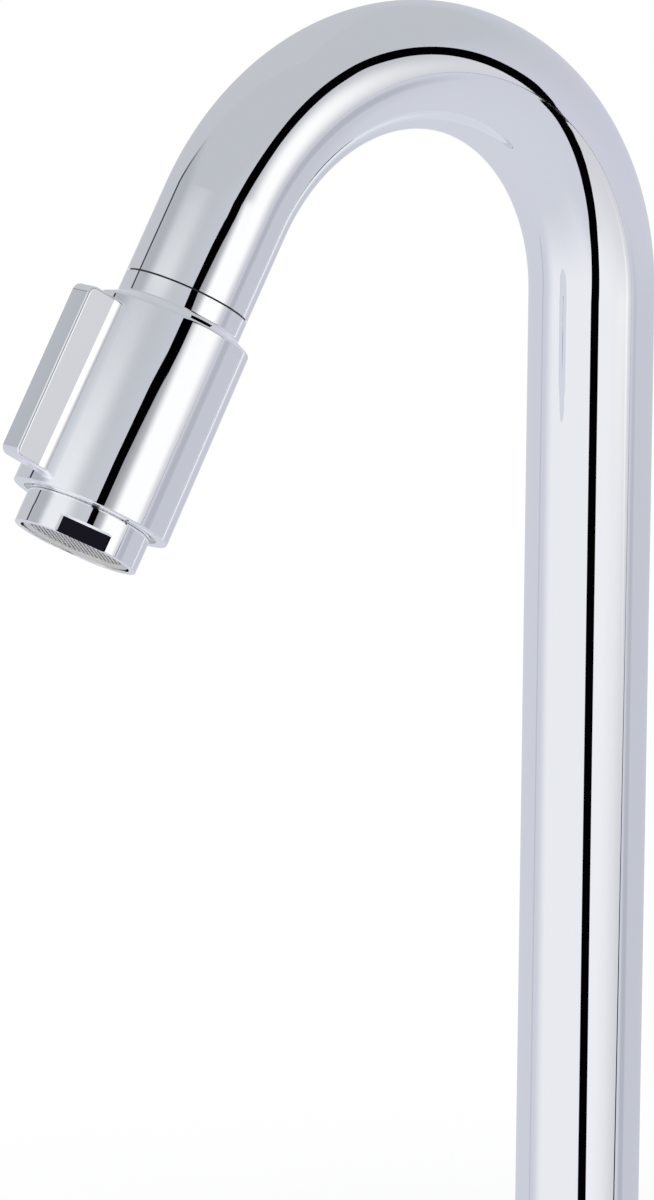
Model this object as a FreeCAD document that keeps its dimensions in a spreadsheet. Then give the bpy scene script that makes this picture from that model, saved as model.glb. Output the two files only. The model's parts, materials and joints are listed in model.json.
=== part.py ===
import FreeCAD, Part
import math
import os
import re
import Sketcher

# A tall pillar tap for a basin. The column and spout are one bent tube. The control is built into
# the outlet: the sleeve with the wing turns the spindle of a quarter-turn headwork, and the water
# runs through the hollow spindle to the aerator.
#
# Frame: millimetres, origin on the deck at the centre of the column, +Z up, spout towards -Y.
# The head's pieces are drawn about their own Z axis, which starts at the tube's end face and
# points out of the spout. Their +Y side carries the wing.

SIZES = {
    # The bent tube.
    "tube_diameter": 28,
    "tube_wall": 1.5,
    "column_height": 245,
    "bend_radius": 55,
    "bend_angle": 150,
    "tip_straight": 20.5,
    # The foot, and what holds it to the deck.
    "flange_diameter": 50,
    "flange_thickness": 6,
    "flange_round": 2,
    "foot_spigot_length": 20,
    "foot_seal_diameter": 41,
    "foot_seal_width": 3,
    "foot_seal_depth": 2,
    "shank_diameter": 20.955,
    "shank_bore": 14,
    "shank_length": 68,
    "shank_engagement": 16,
    "shank_chamfer": 1,
    "inlet_thread_length": 15,
    "relief_width": 3,
    "relief_depth": 1.2,
    "shank_seal_thickness": 1.5,
    "shank_seal_width": 2.5,
    "deck_thickness": 30,
    "gasket_diameter": 44,
    "gasket_thickness": 3,
    "washer_diameter": 42,
    "washer_thickness": 2,
    "washer_play": 0.4,
    "nut_flats": 30,
    "nut_thickness": 8,
    "corner_trim": 1.2,
    # The bush in the tube's end, and the ring that the handle turns on.
    "bush_depth": 15,
    "bush_entry_wall": 1,
    "bush_seat_wall": 2,
    "bush_spigot_diameter": 22,
    "bush_spigot_length": 6,
    "slide_ring_wall": 1.4,
    "slide_ring_edge": 0.35,
    "seam_setback": 0.6,
    # The headwork.
    "headwork_thread": 18,
    "seat_depth": 10,
    "seat_bore": 11,
    "seat_seal_thickness": 3,
    "seat_seal_stand": 1,
    "disc_diameter": 15.3,
    "disc_thickness": 3.5,
    "port_inner": 5,
    "port_outer": 12,
    "port_angle": 76,
    "key_width": 2.4,
    "key_depth": 0.8,
    "hex_flats": 20,
    "hex_thickness": 5,
    "hex_seal_width": 1.2,
    "hex_seal_thickness": 1.2,
    "nose_diameter": 18,
    "nose_length": 9,
    # The spindle.
    "spindle_diameter": 13,
    "spindle_bore": 7,
    "collar_thickness": 5.4,
    "collar_pocket_diameter": 12.4,
    "collar_pocket_depth": 3,
    "dog_height": 1.1,
    "dog_width": 2.4,
    "dog_inner": 9.4,
    "thrust_thickness": 0.6,
    "o_ring_section": 1.6,
    "o_ring_space": 4,
    "o_ring_groove_play": 0.4,
    "circlip_thickness": 1,
    "circlip_groove": 0.75,
    "circlip_rise": 1.9,
    "circlip_angle": 310,
    "spline_teeth": 12,
    "spline_width": 1.5,
    "spline_depth": 0.7,
    "stud_diameter": 11.4,
    # The handle: neck, sleeve and wing in one piece. The sleeve widens a little towards its end.
    "neck_diameter": 28,
    "neck_foot": 5.05,
    "shoulder_rise": 1.65,
    "neck_round": 1.8,
    "shoulder_round": 0.8,
    "sleeve_top_diameter": 34.66,
    "sleeve_diameter": 35.5,
    "sleeve_end": 51,
    "sleeve_end_round": 0.4,
    "web_start": 22.5,
    "web_thickness": 9,
    "wing_thickness": 6,
    "wing_reach": 26.5,
    "wing_root": 1,
    "wing_start": 8.7,
    "wing_end": 48.5,
    "wing_upper_round": 2,
    "wing_lower_round": 2,
    "wing_edge_round": 0.6,
    # The nozzle and the aerator.
    "nozzle_wall": 1.2,
    "nozzle_floor": 6.5,
    "nozzle_chamber_depth": 4.5,
    "nozzle_setback": 0.2,
    "nozzle_seal_section": 1.2,
    "nozzle_seal_setback": 0.8,
    "aerator_diameter": 28,
    "aerator_end": 59,
    "aerator_end_round": 0.3,
    "aerator_gasket_thickness": 1.5,
    "housing_wall": 1.9,
    "housing_lip_width": 0.4,
    "housing_lip_depth": 0.3,
    "mouth_bevel": 0.5,
    "mouth_flare": 1,
    "undercut_width": 0.6,
    "undercut_depth": 0.5,
    "flats_width": 25.5,
    "flats_length": 4,
    "flats_turn": 35.4,
    "screen_thickness": 0.5,
    "screen_pitch": 1.5,
    "screen_wire": 0.4,
    "screen_rim": 0.7,
    "cage_wall": 1.1,
    "cage_plate_depth": 6,
    "cage_plate_thickness": 1.5,
    "jet_diameter": 1.6,
    "jet_circle": 15,
    "jet_count": 12,
    "regulator_thickness": 3.6,
    "regulator_floor": 1.4,
    "regulator_core": 9,
    "regulator_rim": 1.2,
    "regulator_hole": 2,
    "regulator_holes": 8,
    "strainer_rise": 3,
    "strainer_wall": 0.5,
    "strainer_rim": 1.5,
    "strainer_crown": 7,
    "strainer_slots": 12,
    "strainer_slot_width": 0.8,
    "strainer_slot_inner": 4.4,
    "strainer_slot_outer": 9.6,
    # Clearances, each on the radius or along the axis.
    "braze_gap": 0.04,
    "thread_gap": 0.04,
    "fit_gap": 0.04,
    "running_gap": 0.08,
    "face_gap": 0.05,
    "chamber_gap": 0.25,
}

# Places that more than one piece uses: radii and heights that follow from the sizes.
PLACES = {
    # Where the tube ends, in the frame of the whole tap.
    "tip_y": "-bend_radius * (1 - cos(bend_angle)) - tip_straight * sin(bend_angle)",
    "tip_z": "column_height + bend_radius * sin(bend_angle) + tip_straight * cos(bend_angle)",
    "tube_r": "tube_diameter / 2",
    "tube_bore_r": "tube_r - tube_wall",
    "plug_r": "tube_bore_r - braze_gap",
    # The clamp under the deck.
    "shank_r": "shank_diameter / 2",
    "shank_bore_r": "shank_bore / 2",
    "shank_seal_top": "shank_engagement + shank_seal_thickness",
    "inlet_thread_top": "-shank_length + inlet_thread_length",
    "clamp_bore_r": "shank_r + washer_play",
    "gasket_low": "-deck_thickness - gasket_thickness",
    "washer_low": "gasket_low - washer_thickness",
    "nut_low": "washer_low - nut_thickness",
    # Along the head, from the tube's end face outwards: bush, headwork and discs.
    "spigot_r": "bush_spigot_diameter / 2",
    "slide_bore_r": "spigot_r + fit_gap",
    "slide_r": "slide_bore_r + slide_ring_wall",
    "neck_bore_r": "slide_r + running_gap",
    "neck_low": "slide_ring_edge + face_gap",
    "thread_r": "headwork_thread / 2",
    "seat_bore_r": "seat_bore / 2",
    "seal_low": "-seat_depth",
    "headwork_low": "seal_low + seat_seal_stand",
    "disc_r": "disc_diameter / 2",
    "chamber_r": "disc_r + chamber_gap",
    "fixed_low": "seal_low + seat_seal_thickness",
    "moving_low": "fixed_low + disc_thickness",
    "collar_low": "moving_low + disc_thickness",
    "collar_top": "collar_low + collar_thickness",
    "chamber_top": "collar_top + thrust_thickness",
    "spigot_top": "bush_spigot_length",
    "hex_top": "spigot_top + hex_thickness",
    "nose_top": "hex_top + nose_length",
    # The spindle, and what sits on it.
    "spindle_r": "spindle_diameter / 2",
    "spindle_bore_r": "spindle_bore / 2",
    "bearing_r": "spindle_r + running_gap",
    "ring_groove_r": "bearing_r - o_ring_section",
    "ring_groove_half": "(o_ring_section + o_ring_groove_play) / 2",
    "ring_one": "chamber_top + 2 * o_ring_section",
    "ring_two": "ring_one + o_ring_space",
    "circlip_low": "nose_top + face_gap",
    "circlip_top": "circlip_low + circlip_thickness",
    "circlip_groove_r": "spindle_r - circlip_groove",
    "web_end": "web_start + web_thickness",
    "stud_r": "stud_diameter / 2",
    "stud_hole_r": "stud_r + thread_gap",
    "stud_top": "web_end + nozzle_floor",
    "stud_groove_r": "stud_hole_r - nozzle_seal_section",
    "stud_ring": "stud_top - nozzle_seal_setback - nozzle_seal_section / 2",
    "stud_groove_half": "(nozzle_seal_section + o_ring_groove_play) / 2",
    # The nozzle, and the aerator that screws into it.
    "sleeve_top_r": "sleeve_top_diameter / 2",
    "sleeve_r": "sleeve_diameter / 2",
    "housing_r": "aerator_diameter / 2",
    "housing_bore_r": "housing_r - housing_wall",
    "nozzle_bore_r": "housing_r + thread_gap",
    "nozzle_r": "nozzle_bore_r + nozzle_wall",
    "sleeve_bore_r": "nozzle_r + fit_gap",
    "nozzle_seat": "stud_top + nozzle_chamber_depth",
    "nozzle_end": "sleeve_end - nozzle_setback",
    "housing_low": "nozzle_seat + aerator_gasket_thickness",
    "lip_low": "aerator_end - mouth_bevel - housing_lip_depth",
    "lip_r": "housing_bore_r - housing_lip_width",
    "cage_r": "housing_bore_r - fit_gap",
    "cage_bore_r": "cage_r - cage_wall",
    "cage_low": "housing_low + strainer_wall",
    "screen_low": "lip_low - screen_thickness",
    "plate_low": "cage_low + cage_plate_depth",
    "plate_top": "plate_low + cage_plate_thickness",
    "regulator_low": "plate_low - regulator_thickness",
    "strainer_top": "housing_low - strainer_rise",
}

FULL_TURN = 360
OVERRUN = 1
ALMOST = 1e-4

doc = FreeCAD.newDocument("pillar_tap")


def spell(rule):
    """Put the owner's name before each size and place that a rule names."""
    def owned(match):
        word = match.group()
        if word in SIZES:
            return "Sizes." + word
        if word in PLACES:
            return "Places." + word
        return word
    return re.sub(r"[a-z][a-z_]*", owned, rule)


def write_tables():
    """The sheet holds the driving sizes, and the set beside it the places that follow from them."""
    sheet = doc.addObject("Spreadsheet::Sheet", "Sizes")
    for row, (alias, size) in enumerate(SIZES.items(), 1):
        sheet.set(f"A{row}", alias)
        sheet.set(f"B{row}", str(size))
        sheet.setAlias(f"B{row}", alias)
    doc.recompute()
    places = doc.addObject("App::VarSet", "Places")
    for place, rule in PLACES.items():
        places.addProperty("App::PropertyFloat", place, "Places")
        places.setExpression(place, spell(rule).replace("Places.", ""))
    doc.recompute()
    return places


places = write_tables()


def number(rule):
    """The value of a rule now."""
    return float(places.evalExpression(spell(rule).replace("Places.", "")))


def new_body(label, on_head=False):
    """An empty body, at the deck or with its own axis on the head's."""
    body = doc.addObject("PartDesign::Body", label)
    body.Label = label
    if on_head:
        turn = FreeCAD.Rotation(FreeCAD.Vector(1, 0, 0), number("bend_angle"))
        body.Placement = FreeCAD.Placement(FreeCAD.Vector(0, number("tip_y"), number("tip_z")), turn)
        body.setExpression("Placement.Base.y", spell("tip_y"))
        body.setExpression("Placement.Base.z", spell("tip_z"))
        body.setExpression("Placement.Rotation.Angle", spell("bend_angle"))
    return body


def new_sketch(body, name, role="XZ_Plane", lift="0", turn="0"):
    """A sketch on one of the body's own planes, lifted off it and turned about its normal."""
    sketch = body.newObject("Sketcher::SketchObject", name)
    plane = [feature for feature in body.Origin.OriginFeatures if feature.Role == role][0]
    sketch.AttachmentSupport = (plane, [""])
    sketch.MapMode = "FlatFace"
    sketch.AttachmentOffset = FreeCAD.Placement(
        FreeCAD.Vector(0, 0, number(lift)), FreeCAD.Rotation(FreeCAD.Vector(0, 0, 1), number(turn)))
    sketch.setExpression("AttachmentOffset.Base.z", spell(lift))
    if turn != "0":
        sketch.setExpression("AttachmentOffset.Rotation.Angle", spell(turn))
    return sketch


def bind(sketch, kind, geometry, point, rule):
    """Hold one point of the sketch, or a radius where point is None, at the value of a rule."""
    if point is None:
        constraint = Sketcher.Constraint(kind, geometry, number(rule))
    else:
        constraint = Sketcher.Constraint(kind, geometry, point, number(rule))
    index = sketch.addConstraint(constraint)
    sketch.setExpression(f"Constraints[{index}]", spell(rule))


def add_outline(sketch, corners):
    """A closed outline of straight sides. Each corner is a pair of rules."""
    spots = [FreeCAD.Vector(number(across), number(up), 0) for across, up in corners]
    first = sketch.GeometryCount
    for spot, following in zip(spots, spots[1:] + spots[:1]):
        sketch.addGeometry(Part.LineSegment(spot, following))
    for k in range(len(spots)):
        sketch.addConstraint(Sketcher.Constraint(
            "Coincident", first + k, 2, first + (k + 1) % len(spots), 1))
    for k, (across, up) in enumerate(corners):
        bind(sketch, "DistanceX", first + k, 1, across)
        bind(sketch, "DistanceY", first + k, 1, up)


def add_circle(sketch, radius, across="0", up="0"):
    """A circle about a point given by two rules."""
    middle = FreeCAD.Vector(number(across), number(up), 0)
    index = sketch.addGeometry(Part.Circle(middle, FreeCAD.Vector(0, 0, 1), number(radius)))
    bind(sketch, "Radius", index, None, radius)
    bind(sketch, "DistanceX", index, 3, across)
    bind(sketch, "DistanceY", index, 3, up)


def finish_feature(body, feature, grows):
    """Work the new feature out, and check that it added or removed material."""
    base = feature.BaseFeature
    before = base.Shape.Volume if base is not None else 0
    doc.recompute()
    change = feature.Shape.Volume - before
    if change * (1 if grows else -1) <= 0:
        raise ValueError(f"{body.Label}: {feature.Name} changed nothing")
    return feature


def revolve(body, sketch, name="turned"):
    """Turn the sketch about the body's Z axis."""
    feature = body.newObject("PartDesign::Revolution", f"{body.Label}_{name}")
    feature.Profile = sketch
    feature.ReferenceAxis = (sketch, ["V_Axis"])
    feature.Angle = FULL_TURN
    return finish_feature(body, feature, True)


def turned(label, corners, on_head=False):
    """A piece turned about its own axis. Each corner is a radius and a height."""
    body = new_body(label, on_head)
    sketch = new_sketch(body, f"{label}_profile")
    add_outline(sketch, corners)
    revolve(body, sketch)
    return body


def pad(body, sketch, length, name, down=False):
    """Add the sketch's area, drawn out along its normal."""
    feature = body.newObject("PartDesign::Pad", f"{body.Label}_{name}")
    feature.Profile = sketch
    feature.setExpression("Length", spell(length))
    feature.Reversed = down
    return finish_feature(body, feature, True)


def pocket(body, sketch, depth, name, up=False):
    """Cut the sketch's area away, below its plane or above it."""
    feature = body.newObject("PartDesign::Pocket", f"{body.Label}_{name}")
    feature.Profile = sketch
    feature.setExpression("Length", spell(depth))
    feature.Reversed = up
    return finish_feature(body, feature, False)


def repeat_round(body, feature, count, name):
    """Repeat a feature evenly about the body's Z axis."""
    axis = [origin for origin in body.Origin.OriginFeatures if origin.Role == "Z_Axis"][0]
    pattern = body.newObject("PartDesign::PolarPattern", f"{body.Label}_{name}")
    pattern.Originals = [feature]
    pattern.Axis = (axis, [""])
    pattern.Angle = FULL_TURN
    pattern.setExpression("Occurrences", spell(count))
    body.Tip = pattern
    doc.recompute()
    return pattern


def round_edges(body, edges, radius, name):
    """Round the edges of the body's last feature."""
    if not edges:
        raise ValueError(f"{body.Label}: no edge for {name}")
    feature = body.newObject("PartDesign::Fillet", f"{body.Label}_{name}")
    feature.Base = (feature.BaseFeature or body.Tip, edges)
    feature.setExpression("Radius", spell(radius))
    doc.recompute()
    return feature


def bevel_edges(body, edges, size, name):
    """Bevel the edges of the body's last feature."""
    feature = body.newObject("PartDesign::Chamfer", f"{body.Label}_{name}")
    feature.Base = (feature.BaseFeature or body.Tip, edges)
    feature.setExpression("Size", spell(size))
    doc.recompute()
    return feature


def edges_where(body, test):
    """Names of the edges of the body's last feature that pass a test."""
    return [f"Edge{k}" for k, edge in enumerate(body.Tip.Shape.Edges, 1) if test(edge)]


def ring_edges(body, radius, height):
    """Names of the round edges of one radius at one height."""
    def fits(edge):
        curve = edge.Curve
        if not isinstance(curve, Part.Circle):
            return False
        same_radius = abs(curve.Radius - number(radius)) < ALMOST
        return same_radius and abs(curve.Center.z - number(height)) < ALMOST
    return edges_where(body, fits)


def ring_corners(inner, outer, low, high):
    """The four corners of a plain ring's section."""
    return [(inner, low), (outer, low), (outer, high), (inner, high)]


def hexagon_corners(flats):
    """The six corners of a hexagon, from its width across the flats."""
    return [(f"{flats} / 2 / cos(30) * cos({60 * k})", f"{flats} / 2 / cos(30) * sin({60 * k})")
            for k in range(6)]


def trim_corners(body, flats, face, inward, name):
    """Turn a hexagon's corners down towards one face. inward is + or -, away from that face."""
    sketch = new_sketch(body, f"{body.Label}_{name}_profile")
    reach = f"{flats} / 2 / cos(30) + {OVERRUN}"
    drop = f"({reach} - {flats} / 2) * tan(30)"
    add_outline(sketch, [
        (f"{flats} / 2", face),
        (reach, f"{face} {inward} {drop}"),
        (reach, face),
    ])
    groove = body.newObject("PartDesign::Groove", f"{body.Label}_{name}")
    groove.Profile = sketch
    groove.ReferenceAxis = (sketch, ["V_Axis"])
    groove.Angle = FULL_TURN
    finish_feature(body, groove, False)


def spout_tube():
    """The column, the bend and the short straight tip: one round tube."""
    body = new_body("spout_tube")
    path = new_sketch(body, "spout_path", "YZ_Plane")
    foot = FreeCAD.Vector(0, number("flange_thickness"), 0)
    bend_start = FreeCAD.Vector(0, number("column_height"), 0)
    centre = FreeCAD.Vector(-number("bend_radius"), number("column_height"), 0)
    bend = Part.ArcOfCircle(
        Part.Circle(centre, FreeCAD.Vector(0, 0, 1), number("bend_radius")),
        0, math.radians(number("bend_angle")))
    tip = FreeCAD.Vector(number("tip_y"), number("tip_z"), 0)
    column_line = path.addGeometry(Part.LineSegment(foot, bend_start))
    bend_arc = path.addGeometry(bend)
    tip_line = path.addGeometry(Part.LineSegment(bend.EndPoint, tip))
    path.addConstraint(Sketcher.Constraint("Coincident", column_line, 2, bend_arc, 1))
    path.addConstraint(Sketcher.Constraint("Tangent", bend_arc, 2, tip_line, 1))
    bind(path, "DistanceX", column_line, 1, "0")
    bind(path, "DistanceY", column_line, 1, "flange_thickness")
    bind(path, "DistanceX", column_line, 2, "0")
    bind(path, "DistanceY", column_line, 2, "column_height")
    bind(path, "DistanceX", bend_arc, 3, "-bend_radius")
    bind(path, "DistanceY", bend_arc, 3, "column_height")
    bind(path, "DistanceX", tip_line, 2, "tip_y")
    bind(path, "DistanceY", tip_line, 2, "tip_z")
    section = new_sketch(body, "spout_section", "XY_Plane", "flange_thickness")
    add_circle(section, "tube_r")
    add_circle(section, "tube_bore_r")
    doc.recompute()
    pipe = body.newObject("PartDesign::AdditivePipe", "spout_pipe")
    pipe.Profile = section
    pipe.Spine = (path, [""])
    finish_feature(body, pipe, True)
    return body


def foot():
    """Flanged brass foot, brazed into the column's lower end. The shank screws into it."""
    seal_in = "foot_seal_diameter / 2 - foot_seal_width / 2 - fit_gap"
    seal_out = "foot_seal_diameter / 2 + foot_seal_width / 2 + fit_gap"
    spigot_top = "flange_thickness + foot_spigot_length"
    body = turned("foot", [
        ("shank_r + thread_gap", "0"),
        (seal_in, "0"),
        (seal_in, "foot_seal_depth"),
        (seal_out, "foot_seal_depth"),
        (seal_out, "0"),
        ("flange_diameter / 2", "0"),
        ("flange_diameter / 2", "flange_thickness"),
        ("plug_r", "flange_thickness"),
        ("plug_r", spigot_top),
        ("shank_bore_r", spigot_top),
        ("shank_bore_r", "shank_seal_top"),
        ("shank_r + thread_gap", "shank_seal_top"),
    ])
    rim = ring_edges(body, "flange_diameter / 2", "flange_thickness")
    round_edges(body, rim, "flange_round", "rim_round")
    return body


def foot_seal():
    """Rubber ring in the foot's underside, flush with it, pressed on the deck."""
    return turned("foot_seal", ring_corners(
        "foot_seal_diameter / 2 - foot_seal_width / 2",
        "foot_seal_diameter / 2 + foot_seal_width / 2",
        "0", "foot_seal_depth"))


def shank():
    """Threaded pipe through the deck. A relief parts the nut's thread from the inlet's, at its lower end."""
    body = turned("shank", [
        ("shank_bore_r", "-shank_length"),
        ("shank_r", "-shank_length"),
        ("shank_r", "inlet_thread_top"),
        ("shank_r - relief_depth", "inlet_thread_top"),
        ("shank_r - relief_depth", "inlet_thread_top + relief_width"),
        ("shank_r", "inlet_thread_top + relief_width"),
        ("shank_r", "shank_engagement"),
        ("shank_bore_r", "shank_engagement"),
    ])
    bevel_edges(body, ring_edges(body, "shank_r", "-shank_length"), "shank_chamfer", "lead")
    return body


def shank_seal():
    """Flat ring between the shank's upper end and the foot."""
    return turned("shank_seal", ring_corners(
        "shank_r - shank_seal_width", "shank_r", "shank_engagement", "shank_seal_top"))


def clamp_gasket():
    """Rubber washer against the deck's underside."""
    return turned("clamp_gasket", ring_corners(
        "clamp_bore_r", "gasket_diameter / 2", "gasket_low", "-deck_thickness"))


def clamp_washer():
    """Steel washer that spreads the nut's load."""
    return turned("clamp_washer", ring_corners(
        "clamp_bore_r", "washer_diameter / 2", "washer_low", "gasket_low"))


def mounting_nut():
    """Hexagon nut on the shank, its corners turned down on both faces."""
    body = new_body("mounting_nut")
    sketch = new_sketch(body, "nut_section", "XY_Plane", "nut_low")
    add_outline(sketch, hexagon_corners("nut_flats"))
    add_circle(sketch, "shank_r + thread_gap")
    pad(body, sketch, "nut_thickness", "block")
    trim_corners(body, "nut_flats", "nut_low", "+", "lower_trim")
    trim_corners(body, "nut_flats", "washer_low", "-", "upper_trim")
    return body


def tip_bush():
    """Brass bush brazed into the tube's end. It carries the headwork's thread and the handle's ring."""
    seal_bore = "thread_r + hex_seal_width"
    return turned("tip_bush", [
        ("plug_r - bush_entry_wall", "-bush_depth"),
        ("plug_r", "-bush_depth"),
        ("plug_r", "0"),
        ("spigot_r", "0"),
        ("spigot_r", "spigot_top"),
        (seal_bore, "spigot_top"),
        (seal_bore, "spigot_top - hex_seal_thickness"),
        ("thread_r + thread_gap", "spigot_top - hex_seal_thickness"),
        ("thread_r + thread_gap", "seal_low"),
        ("seat_bore_r", "seal_low"),
        ("seat_bore_r", "seal_low - bush_seat_wall"),
    ], on_head=True)


def slide_ring():
    """Low-friction ring on the bush. Its thin edge is the dark seam above the handle's neck."""
    edge_r = "tube_r - seam_setback"
    return turned("slide_ring", [
        ("slide_bore_r", "0"),
        (edge_r, "0"),
        (edge_r, "slide_ring_edge"),
        ("slide_r", "slide_ring_edge"),
        ("slide_r", "spigot_top"),
        ("slide_bore_r", "spigot_top"),
    ], on_head=True)


def headwork_body():
    """Brass body of the quarter-turn valve: thread, hexagon, and a nose with the spindle's bearing."""
    body = turned("headwork_body", [
        ("chamber_r", "headwork_low"),
        ("thread_r", "headwork_low"),
        ("thread_r", "spigot_top"),
        ("nose_diameter / 2", "hex_top"),
        ("nose_diameter / 2", "nose_top"),
        ("bearing_r", "nose_top"),
        ("bearing_r", "chamber_top"),
        ("chamber_r", "chamber_top"),
    ], on_head=True)
    flats = new_sketch(body, "hexagon_section", "XY_Plane", "spigot_top")
    add_outline(flats, hexagon_corners("hex_flats"))
    add_circle(flats, "(bearing_r + thread_r) / 2")
    pad(body, flats, "hex_thickness", "hexagon")
    trim_corners(body, "hex_flats", "hex_top", "-", "corner_trim")
    slot = new_sketch(body, "key_slot_section", "XY_Plane", "headwork_low")
    reach = "disc_r + key_depth + fit_gap"
    half = "(key_width / 2 + fit_gap)"
    add_outline(slot, [
        (f"-({reach})", f"-{half}"), (reach, f"-{half}"), (reach, half), (f"-({reach})", half)])
    pocket(body, slot, "moving_low - headwork_low", "key_slot", up=True)
    return body


def headwork_seal():
    """Flat ring under the headwork's hexagon."""
    return turned("headwork_seal", ring_corners(
        "thread_r + fit_gap", "thread_r + hex_seal_width - fit_gap",
        "spigot_top - hex_seal_thickness", "spigot_top"), on_head=True)


def seat_seal():
    """Rubber seat, pressed between the bush's shoulder and the fixed disc."""
    return turned("seat_seal", ring_corners("seat_bore_r", "disc_r", "seal_low", "fixed_low"), on_head=True)


def ported_disc(label, low, port_turn):
    """A ceramic disc with two bow-tie ports, one each side of its middle."""
    body = turned(label, ring_corners("0", "disc_r", low, f"{low} + disc_thickness"), on_head=True)
    port = new_sketch(body, f"{label}_port", "XY_Plane", low, port_turn)
    add_outline(port, [
        ("port_inner / 2 * cos(port_angle / 2)", "-port_inner / 2 * sin(port_angle / 2)"),
        ("port_outer / 2 * cos(port_angle / 2)", "-port_outer / 2 * sin(port_angle / 2)"),
        ("port_outer / 2 * cos(port_angle / 6)", "-port_outer / 2 * sin(port_angle / 6)"),
        ("port_outer / 2 * cos(port_angle / 6)", "port_outer / 2 * sin(port_angle / 6)"),
        ("port_outer / 2 * cos(port_angle / 2)", "port_outer / 2 * sin(port_angle / 2)"),
        ("port_inner / 2 * cos(port_angle / 2)", "port_inner / 2 * sin(port_angle / 2)"),
    ])
    cut = pocket(body, port, "disc_thickness", "port_cut", up=True)
    repeat_round(body, cut, "2", "ports")
    return body


def fixed_disc():
    """Lower ceramic disc. Two keys hold it in the headwork's slots."""
    body = ported_disc("fixed_disc", "fixed_low", "0")
    key = new_sketch(body, "key_section", "XY_Plane", "fixed_low")
    add_outline(key, [
        ("disc_r - key_depth", "-key_width / 2"),
        ("disc_r + key_depth", "-key_width / 2"),
        ("disc_r + key_depth", "key_width / 2"),
        ("disc_r - key_depth", "key_width / 2"),
    ])
    rib = pad(body, key, "disc_thickness", "key")
    repeat_round(body, rib, "2", "keys")
    return body


def moving_disc():
    """Upper ceramic disc, a quarter turn from the fixed one when shut, driven by the spindle's dogs."""
    body = ported_disc("moving_disc", "moving_low", "90")
    notch = new_sketch(body, "notch_section", "XY_Plane", "collar_low")
    add_outline(notch, [
        ("dog_inner / 2 - fit_gap", "-dog_width / 2 - fit_gap"),
        (f"disc_r + {OVERRUN}", "-dog_width / 2 - fit_gap"),
        (f"disc_r + {OVERRUN}", "dog_width / 2 + fit_gap"),
        ("dog_inner / 2 - fit_gap", "dog_width / 2 + fit_gap"),
    ])
    cut = pocket(body, notch, "dog_height + face_gap", "notch")
    repeat_round(body, cut, "2", "notches")
    return body


def spindle():
    """Hollow spindle: collar with two dogs, two ring grooves, circlip groove, splines and a stud."""
    grooves = []
    for middle in ("ring_one", "ring_two"):
        grooves += [
            ("spindle_r", f"{middle} - ring_groove_half"),
            ("ring_groove_r", f"{middle} - ring_groove_half"),
            ("ring_groove_r", f"{middle} + ring_groove_half"),
            ("spindle_r", f"{middle} + ring_groove_half"),
        ]
    body = turned("spindle", [
        ("collar_pocket_diameter / 2", "collar_low"),
        ("disc_r", "collar_low"),
        ("disc_r", "collar_top"),
        ("spindle_r", "collar_top"),
        *grooves,
        ("spindle_r", "circlip_low"),
        ("circlip_groove_r", "circlip_low"),
        ("circlip_groove_r", "circlip_top"),
        ("spindle_r", "circlip_top"),
        ("spindle_r", "web_end - face_gap"),
        ("stud_r", "web_end - face_gap"),
        ("stud_r", "stud_ring - stud_groove_half"),
        ("stud_groove_r", "stud_ring - stud_groove_half"),
        ("stud_groove_r", "stud_ring + stud_groove_half"),
        ("stud_r", "stud_ring + stud_groove_half"),
        ("stud_r", "stud_top"),
        ("spindle_bore_r", "stud_top"),
        ("spindle_bore_r", "collar_low + collar_pocket_depth"),
        ("collar_pocket_diameter / 2", "collar_low + collar_pocket_depth"),
    ], on_head=True)
    dog = new_sketch(body, "dog_section", "XY_Plane", "collar_low")
    dog_outer = "(disc_r - chamber_gap)"
    add_outline(dog, [
        ("dog_inner / 2", "-dog_width / 2"),
        (dog_outer, "-dog_width / 2"),
        (dog_outer, "dog_width / 2"),
        ("dog_inner / 2", "dog_width / 2"),
    ])
    tooth = pad(body, dog, "dog_height", "dog", down=True)
    repeat_round(body, tooth, "2", "dogs")
    groove = new_sketch(body, "spline_groove_section", "XY_Plane", "web_start")
    add_outline(groove, [
        ("spindle_r - spline_depth", "-spline_width / 2"),
        (f"spindle_r + {OVERRUN}", "-spline_width / 2"),
        (f"spindle_r + {OVERRUN}", "spline_width / 2"),
        ("spindle_r - spline_depth", "spline_width / 2"),
    ])
    cut = pocket(body, groove, "web_thickness", "spline_groove", up=True)
    repeat_round(body, cut, "spline_teeth", "splines")
    return body


def thrust_washer():
    """Low-friction washer between the spindle's collar and the headwork's shoulder."""
    return turned("thrust_washer", ring_corners(
        "spindle_r + fit_gap", "disc_r", "collar_top", "chamber_top"), on_head=True)


def o_ring(label, inner, outer, middle):
    """A rubber ring of round section that fills a groove from its floor to the bore."""
    body = new_body(label, on_head=True)
    section = new_sketch(body, f"{label}_section")
    add_circle(section, f"({outer} - {inner}) / 2 - fit_gap", f"({outer} + {inner}) / 2", middle)
    revolve(body, section)
    return body


def spindle_seals():
    """The two O-rings that seal the spindle in the headwork: one node, two solids."""
    rings = [
        o_ring("spindle_seal_one", "ring_groove_r", "bearing_r", "ring_one"),
        o_ring("spindle_seal_two", "ring_groove_r", "bearing_r", "ring_two"),
    ]
    pair = doc.addObject("Part::Compound", "spindle_seals")
    pair.Links = rings
    pair.Label = "spindle_seals"
    doc.recompute()
    return pair


def circlip():
    """Open spring ring in the spindle's groove, against the headwork's nose."""
    body = new_body("circlip", on_head=True)
    sketch = new_sketch(body, "circlip_section")
    add_outline(sketch, ring_corners(
        "circlip_groove_r + fit_gap", "spindle_r + circlip_rise", "circlip_low", "circlip_top"))
    feature = body.newObject("PartDesign::Revolution", "circlip_turned")
    feature.Profile = sketch
    feature.ReferenceAxis = (sketch, ["V_Axis"])
    feature.setExpression("Angle", spell("circlip_angle"))
    finish_feature(body, feature, True)
    return body


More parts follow.
